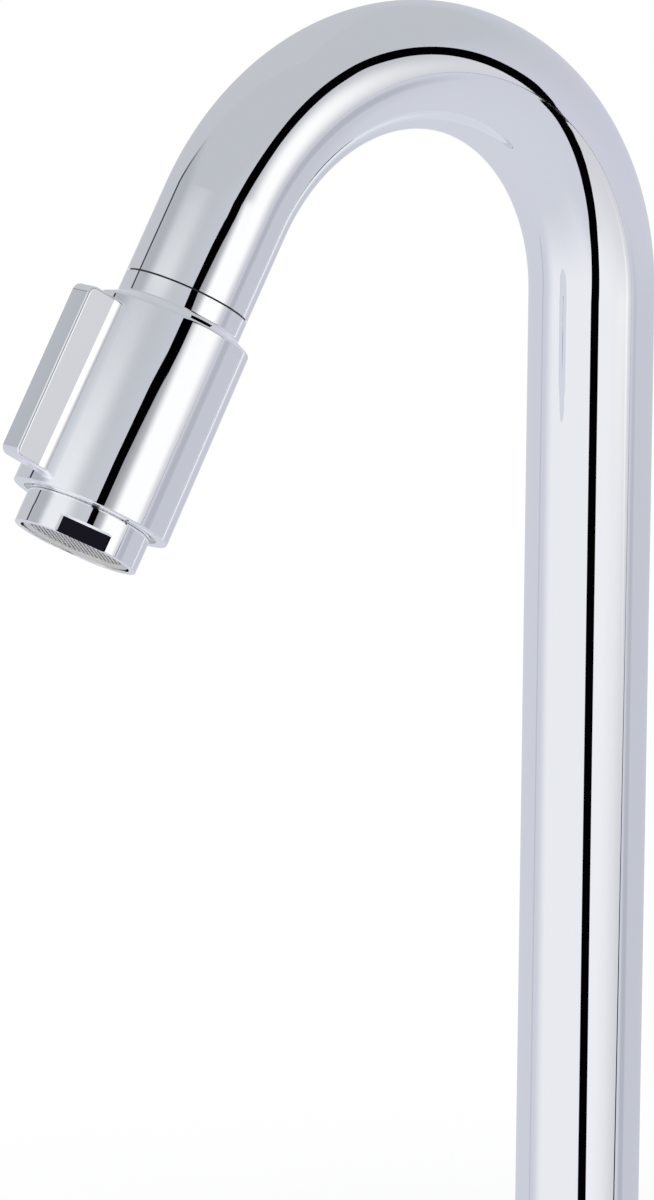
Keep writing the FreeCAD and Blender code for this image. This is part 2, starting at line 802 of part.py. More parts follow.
def handle():
    """Neck, sleeve and wing in one turned and milled piece, splined to the spindle at its web."""
    body = turned("handle", [
        ("neck_bore_r", "neck_low"),
        ("neck_diameter / 2", "neck_low"),
        ("neck_diameter / 2", "neck_foot"),
        ("sleeve_top_r", "neck_foot + shoulder_rise"),
        ("sleeve_r", "sleeve_end"),
        ("sleeve_bore_r", "sleeve_end"),
        ("sleeve_bore_r", "web_end"),
        ("spindle_r + fit_gap", "web_end"),
        ("spindle_r + fit_gap", "web_start"),
        ("neck_bore_r", "web_start"),
    ], on_head=True)
    round_edges(body, ring_edges(body, "neck_diameter / 2", "neck_foot"), "neck_round", "neck_flare")
    shoulder = ring_edges(body, "sleeve_top_r", "neck_foot + shoulder_rise")
    round_edges(body, shoulder, "shoulder_round", "shoulder")
    end_edges = ring_edges(body, "sleeve_r", "sleeve_end")
    round_edges(body, end_edges, "sleeve_end_round", "end_round")

    rib = new_sketch(body, "hub_tooth_section", "XY_Plane", "web_start")
    half_tooth = "(spline_width / 2 - fit_gap)"
    add_outline(rib, [
        ("spindle_r - spline_depth + fit_gap", f"-{half_tooth}"),
        (f"spindle_r + {OVERRUN}", f"-{half_tooth}"),
        (f"spindle_r + {OVERRUN}", half_tooth),
        ("spindle_r - spline_depth + fit_gap", half_tooth),
    ])
    tooth = pad(body, rib, "web_thickness", "hub_tooth")
    repeat_round(body, tooth, "spline_teeth", "hub_teeth")

    blade = new_sketch(body, "wing_section", "XY_Plane", "wing_start")
    add_outline(blade, [
        ("-wing_thickness / 2", "sleeve_r - wing_root"),
        ("wing_thickness / 2", "sleeve_r - wing_root"),
        ("wing_thickness / 2", "wing_reach"),
        ("-wing_thickness / 2", "wing_reach"),
    ])
    pad(body, blade, "wing_end - wing_start", "wing")
    for height, radius, name in (
            ("wing_start", "wing_upper_round", "upper_corner"),
            ("wing_end", "wing_lower_round", "lower_corner")):
        corner = edges_where(body, lambda edge: all(
            abs(vertex.Y - number("wing_reach")) < ALMOST and abs(vertex.Z - number(height)) < ALMOST
            for vertex in edge.Vertexes))
        round_edges(body, corner, radius, name)

    def on_rim(edge):
        flank = all(abs(abs(vertex.X) - number("wing_thickness") / 2) < ALMOST for vertex in edge.Vertexes)
        one_side = abs(sum(vertex.X for vertex in edge.Vertexes)) > number("wing_thickness") / 2
        outside = edge.CenterOfMass.y > number("sleeve_r")
        return flank and one_side and outside
    round_edges(body, edges_where(body, on_rim), "wing_edge_round", "wing_rim")
    return body


def outlet_nozzle():
    """Brass cup on the spindle's stud. It clamps the handle's web and takes the aerator's thread."""
    return turned("outlet_nozzle", [
        ("stud_hole_r", "web_end"),
        ("nozzle_r", "web_end"),
        ("nozzle_r", "nozzle_end"),
        ("nozzle_bore_r", "nozzle_end"),
        ("nozzle_bore_r", "nozzle_seat"),
        ("cage_r", "nozzle_seat"),
        ("cage_r", "stud_top"),
        ("stud_hole_r", "stud_top"),
    ], on_head=True)


def nozzle_seal():
    """O-ring near the end of the spindle's stud, inside the nozzle."""
    return o_ring("nozzle_seal", "stud_groove_r", "stud_hole_r", "stud_ring")


def aerator_gasket():
    """Flat rubber ring between the nozzle's shoulder and the aerator."""
    return turned("aerator_gasket", ring_corners(
        "cage_r", "housing_r", "nozzle_seat", "housing_low"), on_head=True)


def aerator_housing():
    """Chromed ring that holds the aerator: threaded part, undercut, ring with two flats, flared mouth."""
    body = turned("aerator_housing", [
        ("housing_bore_r", "housing_low"),
        ("housing_r", "housing_low"),
        ("housing_r", "nozzle_end"),
        ("housing_r - undercut_depth", "nozzle_end"),
        ("housing_r - undercut_depth", "nozzle_end + undercut_width"),
        ("housing_r", "nozzle_end + undercut_width"),
        ("housing_r", "aerator_end"),
        ("lip_r + mouth_flare", "aerator_end"),
        ("lip_r", "aerator_end - mouth_bevel"),
        ("lip_r", "lip_low"),
        ("housing_bore_r", "lip_low"),
    ], on_head=True)
    end_edge = ring_edges(body, "housing_r", "aerator_end")
    round_edges(body, end_edge, "aerator_end_round", "end_round")
    flat = new_sketch(body, "flat_section", "XY_Plane", "aerator_end", "flats_turn")
    add_outline(flat, [
        ("flats_width / 2", "-housing_r"),
        (f"housing_r + {OVERRUN}", "-housing_r"),
        (f"housing_r + {OVERRUN}", "housing_r"),
        ("flats_width / 2", "housing_r"),
    ])
    cut = pocket(body, flat, "flats_length", "flat")
    repeat_round(body, cut, "2", "flats")
    return body


def aerator_cage():
    """Plastic cage: a wall that stands on the screen, and a jet plate across it."""
    body = turned("aerator_cage", [
        ("0", "plate_low"),
        ("cage_bore_r", "plate_low"),
        ("cage_bore_r", "cage_low"),
        ("cage_r", "cage_low"),
        ("cage_r", "screen_low"),
        ("cage_bore_r", "screen_low"),
        ("cage_bore_r", "plate_top"),
        ("0", "plate_top"),
    ], on_head=True)
    jet = new_sketch(body, "jet_section", "XY_Plane", "plate_top")
    add_circle(jet, "jet_diameter / 2", "jet_circle / 2")
    cut = pocket(body, jet, "cage_plate_thickness", "jet")
    repeat_round(body, cut, "jet_count", "jets")
    return body


def flow_regulator():
    """Disc on the jet plate that evens out the flow: a floor with holes, a core and a rim."""
    floor_top = "(plate_low - regulator_floor)"
    core_r = "(regulator_core / 2)"
    rim_r = "(cage_bore_r - fit_gap)"
    body = turned("flow_regulator", [
        ("0", "regulator_low"),
        (f"{core_r} / 2", "regulator_low"),
        (core_r, floor_top),
        (f"{rim_r} - regulator_rim", floor_top),
        (f"{rim_r} - regulator_rim", "regulator_low"),
        (rim_r, "regulator_low"),
        (rim_r, "plate_low"),
        ("0", "plate_low"),
    ], on_head=True)
    hole = new_sketch(body, "regulator_hole_section", "XY_Plane", "plate_low")
    add_circle(hole, "regulator_hole / 2", f"({rim_r} - regulator_rim + {core_r}) / 2")
    cut = pocket(body, hole, "regulator_floor", "hole")
    repeat_round(body, cut, "regulator_holes", "holes")
    return body


def inlet_strainer():
    """Domed strainer on the cage's top, its slots laid round the cone."""
    cone_r = "(cage_r - strainer_rim)"
    crown_r = "(strainer_crown / 2)"
    body = turned("inlet_strainer", [
        ("0", "strainer_top"),
        (crown_r, "strainer_top"),
        (cone_r, "housing_low"),
        ("cage_r", "housing_low"),
        ("cage_r", "cage_low"),
        (cone_r, "cage_low"),
        (crown_r, "strainer_top + strainer_wall"),
        ("0", "strainer_top + strainer_wall"),
    ], on_head=True)
    slot = new_sketch(body, "strainer_slot_section", "XY_Plane", "strainer_top")
    add_outline(slot, [
        ("strainer_slot_inner", "-strainer_slot_width / 2"),
        ("strainer_slot_outer", "-strainer_slot_width / 2"),
        ("strainer_slot_outer", "strainer_slot_width / 2"),
        ("strainer_slot_inner", "strainer_slot_width / 2"),
    ])
    cut = pocket(body, slot, "strainer_rise + strainer_wall", "slot", up=True)
    repeat_round(body, cut, "strainer_slots", "slots")
    return body


def aerator_screen():
    """Square net across the mouth, as one holed face drawn out to its thickness."""
    radius = number("cage_r")
    pitch = number("screen_pitch")
    half_hole = (pitch - number("screen_wire")) / 2
    reach = radius - number("screen_rim")
    rows = math.ceil(reach / pitch)
    level = number("screen_low")
    outline = Part.Wire([Part.Circle(
        FreeCAD.Vector(0, 0, level), FreeCAD.Vector(0, 0, 1), radius).toShape()])
    net = Part.Face(outline)
    holes = []
    for column in range(-rows, rows + 1):
        for row in range(-rows, rows + 1):
            across = column * pitch
            up = row * pitch
            if math.hypot(abs(across) + half_hole, abs(up) + half_hole) < reach:
                corner = FreeCAD.Vector(across - half_hole, up - half_hole, level)
                holes.append(Part.makePlane(2 * half_hole, 2 * half_hole, corner))
    solid = net.cut(holes).extrude(FreeCAD.Vector(0, 0, number("screen_thickness")))
    screen = doc.addObject("Part::Feature", "aerator_screen")
    screen.Label = "aerator_screen"
    screen.Shape = solid.Solids[0]
    turn = FreeCAD.Rotation(FreeCAD.Vector(1, 0, 0), number("bend_angle"))
    screen.Placement = FreeCAD.Placement(FreeCAD.Vector(0, number("tip_y"), number("tip_z")), turn)
    return screen


PIECES = [
    spout_tube,
    foot,
    foot_seal,
    shank,
    shank_seal,
    clamp_gasket,
    clamp_washer,
    mounting_nut,
    tip_bush,
    slide_ring,
    headwork_body,
    headwork_seal,
    seat_seal,
    fixed_disc,
    moving_disc,
    spindle,
    thrust_washer,
    spindle_seals,
    circlip,
    handle,
    outlet_nozzle,
    nozzle_seal,
    aerator_gasket,
    aerator_housing,
    aerator_cage,
    flow_regulator,
    inlet_strainer,
    aerator_screen,
]

made = [make() for make in PIECES]
doc.recompute()

for item in doc.Objects:
    if "Invalid" in item.State or "Error" in item.State:
        raise ValueError(f"{item.Label} failed: {item.State}")
for piece in made:
    if piece.Shape.isNull() or not piece.Shape.isValid():
        raise ValueError(f"{piece.Label} has no valid shape")

os.makedirs("parts", exist_ok=True)
for piece in made:
    piece.Shape.exportStep(f"parts/{piece.Label}.step")
    print(piece.Label, len(piece.Shape.Solids), round(piece.Shape.Volume, 1))
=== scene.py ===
import json
import math

import bmesh
import bpy
from mathutils import Matrix, Vector


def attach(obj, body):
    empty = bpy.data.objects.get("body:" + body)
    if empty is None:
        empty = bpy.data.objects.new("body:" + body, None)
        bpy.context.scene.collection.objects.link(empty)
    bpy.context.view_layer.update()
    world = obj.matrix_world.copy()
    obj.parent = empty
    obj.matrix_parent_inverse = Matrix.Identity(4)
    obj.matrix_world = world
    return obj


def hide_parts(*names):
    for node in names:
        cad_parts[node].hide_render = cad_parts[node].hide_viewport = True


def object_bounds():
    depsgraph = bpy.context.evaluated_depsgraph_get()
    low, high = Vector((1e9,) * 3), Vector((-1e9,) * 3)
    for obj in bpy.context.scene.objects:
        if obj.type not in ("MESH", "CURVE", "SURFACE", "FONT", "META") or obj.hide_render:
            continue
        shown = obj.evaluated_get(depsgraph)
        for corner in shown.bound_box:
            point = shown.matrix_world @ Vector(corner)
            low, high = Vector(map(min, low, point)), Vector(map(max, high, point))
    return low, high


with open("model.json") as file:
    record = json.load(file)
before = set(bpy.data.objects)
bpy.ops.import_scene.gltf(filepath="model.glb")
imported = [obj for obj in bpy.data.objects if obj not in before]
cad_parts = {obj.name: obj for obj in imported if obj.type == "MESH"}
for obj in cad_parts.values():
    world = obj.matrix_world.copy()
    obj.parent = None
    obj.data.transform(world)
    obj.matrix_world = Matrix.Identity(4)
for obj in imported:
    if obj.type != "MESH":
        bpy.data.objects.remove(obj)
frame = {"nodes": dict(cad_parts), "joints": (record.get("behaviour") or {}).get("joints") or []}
cad_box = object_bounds()


# The camera stands to the right of the tap and a little above its outlet, about an arm and a half away.
# Its long lens keeps the two legs of the spout nearly parallel.
camera_azimuth = 51.604
camera_elevation = 11.476
camera_roll = 0.548
camera_distance = 1.7315
camera_aim = Vector((0, -0.0740, 0.1842))
camera_lens = 238.66
camera_film = 36
camera_sees = (0.05, 50)


def direction(azimuth, elevation):
    """The unit vector at that azimuth from -Y towards +X and that elevation, in degrees."""
    across = math.radians(azimuth)
    rise = math.radians(elevation)
    return Vector((math.sin(across) * math.cos(rise), -math.cos(across) * math.cos(rise), math.sin(rise)))


camera = bpy.data.objects.new("camera", bpy.data.cameras.new("camera"))
bpy.context.scene.collection.objects.link(camera)
bpy.context.scene.camera = camera
camera.data.lens = camera_lens
camera.data.sensor_width = camera_film
camera.data.clip_start, camera.data.clip_end = camera_sees
towards_camera = direction(camera_azimuth, camera_elevation)
upright = towards_camera.to_track_quat("Z", "Y").to_matrix().to_4x4()
camera.matrix_world = (Matrix.Translation(camera_aim + towards_camera * camera_distance)
                       @ upright @ Matrix.Rotation(math.radians(camera_roll), 4, "Z"))
bpy.context.scene.view_settings.view_transform = "Standard"


# The studio that the chrome mirrors: a grey ceiling, lavender walls, a broad bright wall in front and, on
# the right, a window in a black frame. Angles are in degrees and colours are as the screen shows them. A
# pair of angles or lengths gives where a soft edge starts and where it is complete.
ground = (206, 209, 218)
lower_wall = (203, 206, 216)
wall = (201, 202, 215)
upper_wall = (195, 198, 206)
ceiling = (189, 193, 198)
lower_wall_foot = (-60, -5)
wall_foot = (-12, 6)
upper_wall_foot = (0, 26)
ceiling_edge = (22, 38)
chrome_colour = (0.93, 0.935, 0.945)


def display(red, green, blue):
    """The light value of a colour that the screen shows as these numbers from 0 to 255."""
    def linear(part):
        part = part / 255
        return part / 12.92 if part <= 0.04045 else ((part + 0.055) / 1.055) ** 2.4
    return (linear(red), linear(green), linear(blue), 1)


def wire(tree, kind, *inputs, output=0, **settings):
    """A new node with its settings, fed in order by sockets or numbers. Gives one of its outputs."""
    node = tree.nodes.new(kind)
    for name, value in settings.items():
        setattr(node, name, value)
    for socket, value in zip(node.inputs, inputs):
        if isinstance(value, bpy.types.NodeSocket):
            tree.links.new(value, socket)
        elif value is not None:
            socket.default_value = value
    return node.outputs[output]


def maths(tree, operation, *inputs):
    """One step of arithmetic."""
    return wire(tree, "ShaderNodeMath", *inputs, operation=operation)


def product(tree, first, *others):
    """All the factors multiplied together."""
    for other in others:
        first = maths(tree, "MULTIPLY", first, other)
    return first


def distance(tree, across, up):
    """The length of a step given by its two parts."""
    return maths(tree, "SQRT", maths(tree, "ADD", product(tree, across, across), product(tree, up, up)))


def fade(tree, value, start, end):
    """A soft step of the value, from 0 at start to 1 at end."""
    return wire(tree, "ShaderNodeMapRange", value, start, end, 0, 1, interpolation_type="SMOOTHSTEP")


def mixed(tree, share, first, second):
    """The first colour, with that share of the second."""
    return wire(tree, "ShaderNodeMix", share, None, None, None, None, None, first, second,
                data_type="RGBA", output=2)


def on_curve(tree, value, points):
    """A smooth curve through points from 0 to 1, read at the value."""
    node = tree.nodes.new("ShaderNodeFloatCurve")
    curve = node.mapping.curves[0]
    curve.points[0].location = points[0]
    curve.points[1].location = points[-1]
    for point in points[1:-1]:
        curve.points.new(*point)
    node.mapping.update()
    tree.links.new(value, node.inputs["Value"])
    return node.outputs[0]


world = bpy.data.worlds.new("studio")
bpy.context.scene.world = world
world.use_nodes = True
sky = world.node_tree
sky.nodes.clear()
degree = math.degrees(1)
towards = sky.nodes.new("ShaderNodeSeparateXYZ")
sky.links.new(wire(sky, "ShaderNodeTexCoord"), towards.inputs[0])
elevation = product(sky, maths(sky, "ARCSINE", towards.outputs[2]), degree)
front_part = product(sky, towards.outputs[1], -1)
azimuth = product(sky, maths(sky, "ARCTAN2", towards.outputs[0], front_part), degree)


def aside(middle):
    """How far to the right of an azimuth the ray points."""
    return maths(sky, "WRAP", maths(sky, "SUBTRACT", azimuth, middle), 180, -180)


def above(middle):
    """How far above an elevation the ray points."""
    return maths(sky, "SUBTRACT", elevation, middle)


def off_line(middle, height, slope):
    """How far above or below a sloping line the ray points."""
    return maths(sky, "ABSOLUTE", maths(sky, "ADD", above(height), product(sky, aside(middle), -slope)))


paint = mixed(sky, fade(sky, elevation, *lower_wall_foot), display(*ground), display(*lower_wall))
paint = mixed(sky, fade(sky, elevation, *wall_foot), paint, display(*wall))
paint = mixed(sky, fade(sky, elevation, *upper_wall_foot), paint, display(*upper_wall))
paint = mixed(sky, fade(sky, elevation, *ceiling_edge), paint, display(*ceiling))

# The low wall behind the tap, and the greyer wall on its left.
back_wall = (195, 198, 208)
back_wall_middle = 180
back_wall_side = (52, 30)
back_wall_foot = (-34, -22)
back_wall_top = (-4, -12)
left_wall = (192, 195, 201)
left_wall_middle = -98
left_wall_side = (42, 26)
left_wall_foot = (-6, 3)
behind = product(sky, fade(sky, maths(sky, "ABSOLUTE", aside(back_wall_middle)), *back_wall_side),
                 fade(sky, elevation, *back_wall_foot), fade(sky, elevation, *back_wall_top))
paint = mixed(sky, behind, paint, display(*back_wall))
left = product(sky, fade(sky, maths(sky, "ABSOLUTE", aside(left_wall_middle)), *left_wall_side),
               fade(sky, elevation, *left_wall_foot))
paint = mixed(sky, left, paint, display(*left_wall))

# The bright wall has an arched top. High up on the right it falls into shade.
bright_wall = (233, 235, 239)
bright_wall_left = (-44, -20)
bright_wall_right = (76, 44)
bright_wall_foot = (-60, -14)
bright_wall_top = (1.2, -1.6)
bright_wall_height = 39.7
bright_wall_arch = 0.0038
shaded_right = (6, 42)
shaded_high = (0, 20)
shaded_share = 0.9
arch = maths(sky, "ADD", above(bright_wall_height), product(sky, azimuth, azimuth, bright_wall_arch))
shaded = product(sky, fade(sky, azimuth, *shaded_right), fade(sky, elevation, *shaded_high), shaded_share)
front = product(sky, fade(sky, azimuth, *bright_wall_left), fade(sky, azimuth, *bright_wall_right),
                fade(sky, elevation, *bright_wall_foot), fade(sky, arch, *bright_wall_top),
                maths(sky, "SUBTRACT", 1, shaded))
paint = mixed(sky, front, paint, display(*bright_wall))

# A faint upright joint where the bright wall meets the next one.
wall_joint = (176, 178, 190)
joint_left = (-53, -51)
joint_right = (-47.5, -49.5)
joint_foot = (-40, -30)
joint_top = (0, -6)
joint_share = 0.6
joint = product(sky, fade(sky, azimuth, *joint_left), fade(sky, azimuth, *joint_right),
                fade(sky, elevation, *joint_foot), fade(sky, elevation, *joint_top), joint_share)
paint = mixed(sky, joint, paint, display(*wall_joint))

# Left of the bright wall, a grey corner with the thin black pole of a lamp stand.
corner = (174, 178, 184)
corner_left = (-67, -58)
corner_right = (-26, -46)
corner_foot = (8, 18)
corner_top = (44, 32)
stand_black = (30, 30, 38)
pole_place = (-65.5, 22)
pole_lean = 0.25
pole_side = (2.4, 1.2)
pole_foot = (0, 12)
pole_top = (42, 26)
pole_share = 0.95
recess = product(sky, fade(sky, azimuth, *corner_left), fade(sky, azimuth, *corner_right),
                 fade(sky, elevation, *corner_foot), fade(sky, elevation, *corner_top))
paint = mixed(sky, recess, paint, display(*corner))
leaning = product(sky, above(pole_place[1]), pole_lean)
from_pole = maths(sky, "ABSOLUTE", maths(sky, "SUBTRACT", aside(pole_place[0]), leaning))
pole = product(sky, fade(sky, from_pole, *pole_side), fade(sky, elevation, *pole_foot),
               fade(sky, elevation, *pole_top), pole_share)
paint = mixed(sky, pole, paint, display(*stand_black))

# A glow on the backdrop at the left, and a patch of shade at the right.
backdrop_glow = (226, 228, 233)
glow_place = (-128, -11)
glow_edge = (13, 3)
side_shade = (178, 181, 190)
shade_place = (137.5, -15.5)
shade_edge = (9.5, 3)
glow = fade(sky, distance(sky, aside(glow_place[0]), above(glow_place[1])), *glow_edge)
paint = mixed(sky, glow, paint, display(*backdrop_glow))
shade = fade(sky, distance(sky, aside(shade_place[0]), above(shade_place[1])), *shade_edge)
paint = mixed(sky, shade, paint, display(*side_shade))

# The window. Its frame's outer and inner edges are radii round its middle, against the angle from the left
# round through below, right and above. Both lists trace the black line that the tap mirrors in the photo:
# other programs measured it, and the values were rounded and adjusted by hand.
window_middle = (97, 3)
frame_black = (2, 2, 5)
frame_softness = 0.03
frame_outer = [
    (-180, 47.5), (-160, 49.5), (-140, 47.1), (-120, 41.4), (-100, 36.7), (-80, 33.6), (-60, 32.3),
    (-45, 32.45), (-37.5, 32.85), (-27.3, 33.8), (-22.7, 34.1), (-20.1, 34.43), (-18.3, 34.85), (-14, 35.95),
    (-10.2, 37.1), (-4.4, 38.85), (1.4, 40.6), (9.6, 41.9), (22, 43.8), (38, 44.8), (50, 44.8), (62, 43.7),
    (73, 41.2), (83, 38.8), (92.5, 36.3), (102, 34.1), (112, 32.1), (122.5, 31.3), (133.5, 32), (140, 33),
    (143.4, 34), (144.84, 35), (146.25, 39), (147.66, 41.3), (149.1, 41.2), (151, 42.2), (162, 46.3),
    (180, 47.5)]
frame_inner = [
    (-180, 33.5), (-160, 35.6), (-145, 36.1), (-130, 34.7), (-110, 31.4), (-90, 29.2), (-75, 28.5),
    (-60, 28.65), (-52, 29.2), (-44.6, 29.9), (-38, 30.9), (-32.3, 31.8), (-27.3, 32.85), (-22.7, 33.76),
    (-20.1, 34.35), (-18.3, 34.59), (-14, 35.05), (-10.2, 35.35), (-6, 35.6), (0, 35.9), (11, 36.15),
    (21, 36.2), (32, 35.7), (42, 34.6), (52, 33.8), (60, 31), (69, 28.1), (77, 25.2), (86, 22.2),
    (96, 19.6), (107, 17.7), (115, 17.3), (122.5, 17.5), (131, 18.3), (138.5, 19.7), (141.2, 23),
    (143.4, 26.3), (144.84, 28.7), (146.25, 28.7), (147.66, 28), (150, 28.2), (157, 31), (164, 33.6),
    (180, 33.5)]
from_middle = distance(sky, aside(window_middle[0]), above(window_middle[1]))
angle = maths(sky, "ARCTAN2", above(window_middle[1]), aside(window_middle[0]))
turn = wire(sky, "ShaderNodeMapRange", angle, -math.pi, math.pi, 0, 1)


def inside(edge):
    """1 within an edge of the window's frame and 0 outside it."""
    widest = max(radius for _, radius in edge)
    points = [((degrees + 180) / 360, radius / widest) for degrees, radius in edge]
    reach = product(sky, on_curve(sky, turn, points), widest)
    return fade(sky, maths(sky, "SUBTRACT", from_middle, reach), frame_softness, -frame_softness)


# Its pane: grey on the left, paler on the right and low down, with a white lamp and a sloping streak in it.
pane_left = (140, 141, 146)
pane_right = (191, 193, 199)
pane_turns = (74, 98)
pane_low = (237, 238, 242)
pane_low_top = (27, -12)
pane_low_slope = 1.27
pane_low_right = (168, 94)
pure_white = (1, 1, 1, 1)
lamp_place = (109.7, 2.3)
lamp_narrowing = 1.33
lamp_edge = (28.5, 5.7)
lamp_foot = (-14, -5)
streak_place = (92, 8.5)
streak_slope = -0.62
streak_edge = (4, 1.5)
streak_left = (82, 93)
streak_right = (124, 115)
pane = mixed(sky, fade(sky, azimuth, *pane_turns), display(*pane_left), display(*pane_right))
sloping = maths(sky, "SUBTRACT", azimuth, product(sky, elevation, pane_low_slope))
low = product(sky, fade(sky, elevation, *pane_low_top), fade(sky, sloping, *pane_low_right))
pane = mixed(sky, low, pane, display(*pane_low))
from_lamp = distance(sky, product(sky, aside(lamp_place[0]), lamp_narrowing), above(lamp_place[1]))
lamp = product(sky, fade(sky, from_lamp, *lamp_edge), fade(sky, elevation, *lamp_foot))
pane = mixed(sky, lamp, pane, pure_white)
from_streak = off_line(*streak_place, streak_slope)
streak = product(sky, fade(sky, from_streak, *streak_edge), fade(sky, azimuth, *streak_left),
                 fade(sky, azimuth, *streak_right))
pane = mixed(sky, streak, pane, pure_white)

# The black frame with its faint sheen, and the pane in it.
frame_sheen = (25, 23, 31)
sheen_place = (63.8, 22.6)
sheen_edge = (1.4, 0.5)
paint = mixed(sky, inside(frame_outer), paint, display(*frame_black))
sheen = fade(sky, distance(sky, aside(sheen_place[0]), above(sheen_place[1])), *sheen_edge)
paint = mixed(sky, sheen, paint, display(*frame_sheen))
paint = mixed(sky, inside(frame_inner), paint, pane)

# Metal mirrors the painting, brighter by what the chrome takes, and more so where chrome mirrors chrome.
# Other surfaces get plain soft light, and the camera sees a white backdrop.
soft_light = (0.97, 0.98, 1)
soft_light_level = 0.8
second_mirror_gain = 0.14
first_mirrors = 1.5
path = sky.nodes.new("ShaderNodeLightPath")
again = maths(sky, "GREATER_THAN", path.outputs["Glossy Depth"], first_mirrors)
level = maths(sky, "ADD", 1 / chrome_colour[1], product(sky, again, second_mirror_gain))
painting = wire(sky, "ShaderNodeBackground", paint, level)
plain = wire(sky, "ShaderNodeBackground", (*soft_light, 1), soft_light_level)
white = wire(sky, "ShaderNodeBackground", pure_white, 1)
lit = wire(sky, "ShaderNodeMixShader", path.outputs["Is Glossy Ray"], plain, painting)
seen_straight = maths(sky, "MAXIMUM", path.outputs["Is Camera Ray"], path.outputs["Is Transmission Ray"])
world_end = sky.nodes.new("ShaderNodeOutputWorld")
sky.links.new(wire(sky, "ShaderNodeMixShader", seen_straight, lit, white), world_end.inputs["Surface"])


# One soft lamp high on the left gives the rubber and brass some shape and the floor a shadow. The chrome
# doesn't mirror it.
lamp_size = 1.2
lamp_power = 9
lamp_stands = direction(-10, 60)
lamp_away = 1.5
lamp_object = bpy.data.objects.new("soft_lamp", bpy.data.lights.new("soft_lamp", "AREA"))
lamp_object.data.size = lamp_size
lamp_object.data.energy = lamp_power
lamp_object.location = lamp_stands * lamp_away
lamp_object.rotation_euler = lamp_stands.to_track_quat("Z", "Y").to_euler()
lamp_object.visible_glossy = False
bpy.context.scene.collection.objects.link(lamp_object)


# The floor: matt white paper under the threaded pipe's end. It keeps the tap's soft shadow and runs out
# into the white backdrop. The chrome doesn't mirror it, so that it shows the studio alone.
floor_radius = 4
floor_sides = 128
shadow_keeps_to = 0.16
white_from = 0.5
paper_colour = (0.93, 0.93, 0.935)
paper_shaded = 0.985
paper_rough = 0.9
paper_gloss = 0.2
fibre_size = 2
fibre_depth = 0.02


def new_material(name):
    """An empty node material. Gives it, its tree and its surface shader."""
    made = bpy.data.materials.new(name)
    made.use_nodes = True
    return made, made.node_tree, made.node_tree.nodes["Principled BSDF"]


def grain(tree, size, detail=3, roughness=0.5):
    """Noise with its cells about that many millimetres wide, fixed to the piece."""
    place = wire(tree, "ShaderNodeTexCoord", output=3)
    return wire(tree, "ShaderNodeTexNoise", place, None, 1000 / size, detail, roughness)


def bumpy(tree, surface, height, depth):
    """Raise the surface by height, a value from 0 to 1, times a depth in millimetres."""
    bump = tree.nodes.new("ShaderNodeBump")
    bump.inputs["Distance"].default_value = depth / 1000
    tree.links.new(height, bump.inputs["Height"])
    tree.links.new(bump.outputs[0], surface.inputs["Normal"])


shape = bmesh.new()
bmesh.ops.create_circle(shape, cap_ends=True, segments=floor_sides, radius=floor_radius)
floor = bpy.data.objects.new("floor", bpy.data.meshes.new("floor"))
shape.to_mesh(floor.data)
shape.free()
floor.location.z = cad_box[0].z
floor.visible_glossy = False
bpy.context.scene.collection.objects.link(floor)
paper, tree, surface = new_material("paper")
surface.inputs["Roughness"].default_value = paper_rough
surface.inputs["Specular IOR Level"].default_value = paper_gloss
fibre = grain(tree, fibre_size)
tone = mixed(tree, fibre, (*paper_colour, 1), (*[part * paper_shaded for part in paper_colour], 1))
tree.links.new(tone, surface.inputs["Base Color"])
bumpy(tree, surface, fibre, fibre_depth)
spot = tree.nodes.new("ShaderNodeSeparateXYZ")
tree.links.new(wire(tree, "ShaderNodeTexCoord", output=3), spot.inputs[0])
far = fade(tree, distance(tree, spot.outputs[0], spot.outputs[1]), shadow_keeps_to, white_from)
camera_ray = wire(tree, "ShaderNodeLightPath")
to_white = wire(tree, "ShaderNodeMixShader", product(tree, far, camera_ray), surface.outputs[0],
                wire(tree, "ShaderNodeEmission", pure_white, 1))
tree.links.new(to_white, tree.nodes["Material Output"].inputs["Surface"])
floor.data.materials.append(paper)


# The spout: one bent brass tube, ground, polished and chromed. It is brazed to the foot at the bottom and
# to the bush at the tip.
mm = 0.001
tube_radius = 14
tube_wall = 1.5
tube_low = 6
column_height = 245
bend_radius = 55
bend_angle = 150
tip_straight = 20.5
noise_spread = (0.3, 0.7)
chrome_wear = 0.985
chrome_rough = (0.006, 0.014)
haze_size = 1.5
ripple_size = 9
ripple_depth = 0.0006
tube_sides = 128
column_steps = 12
bend_steps = 120
tip_steps = 4


def new_piece(name, mesh, body, material):
    """A piece of the object that rides on a body and takes the finish it is given."""
    piece = bpy.data.objects.new(name, mesh)
    bpy.context.scene.collection.objects.link(piece)
    piece.data.materials.append(material)
    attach(piece, body)
    return piece


def ring_mesh(name, rings, closed=True):
    """A mesh of quads between rings of points, each joined to the next, and the last to the first."""
    mesh = bpy.data.meshes.new(name)
    count = len(rings[0])
    points = [point for ring in rings for point in ring]
    last = len(rings) if closed else len(rings) - 1
    faces = []
    for ring in range(last):
        after = (ring + 1) % len(rings)
        for side in range(count):
            ahead = (side + 1) % count
            faces.append((ring * count + side, ring * count + ahead,
                          after * count + ahead, after * count + side))
    mesh.from_pydata(points, [], faces)
    return mesh


def polish(piece, crease=30):
    """Smooth the faces, keep edges sharper than the crease, and let broad faces keep their own normal."""
    mesh = piece.data
    shape = bmesh.new()
    shape.from_mesh(mesh)
    bmesh.ops.recalc_face_normals(shape, faces=shape.faces)
    shape.to_mesh(mesh)
    shape.free()
    mesh.shade_smooth()
    mesh.set_sharp_from_angle(angle=math.radians(crease))
    weighted = piece.modifiers.new("broad_faces", "WEIGHTED_NORMAL")
    weighted.keep_sharp = True
    weighted.weight = 100
    return piece


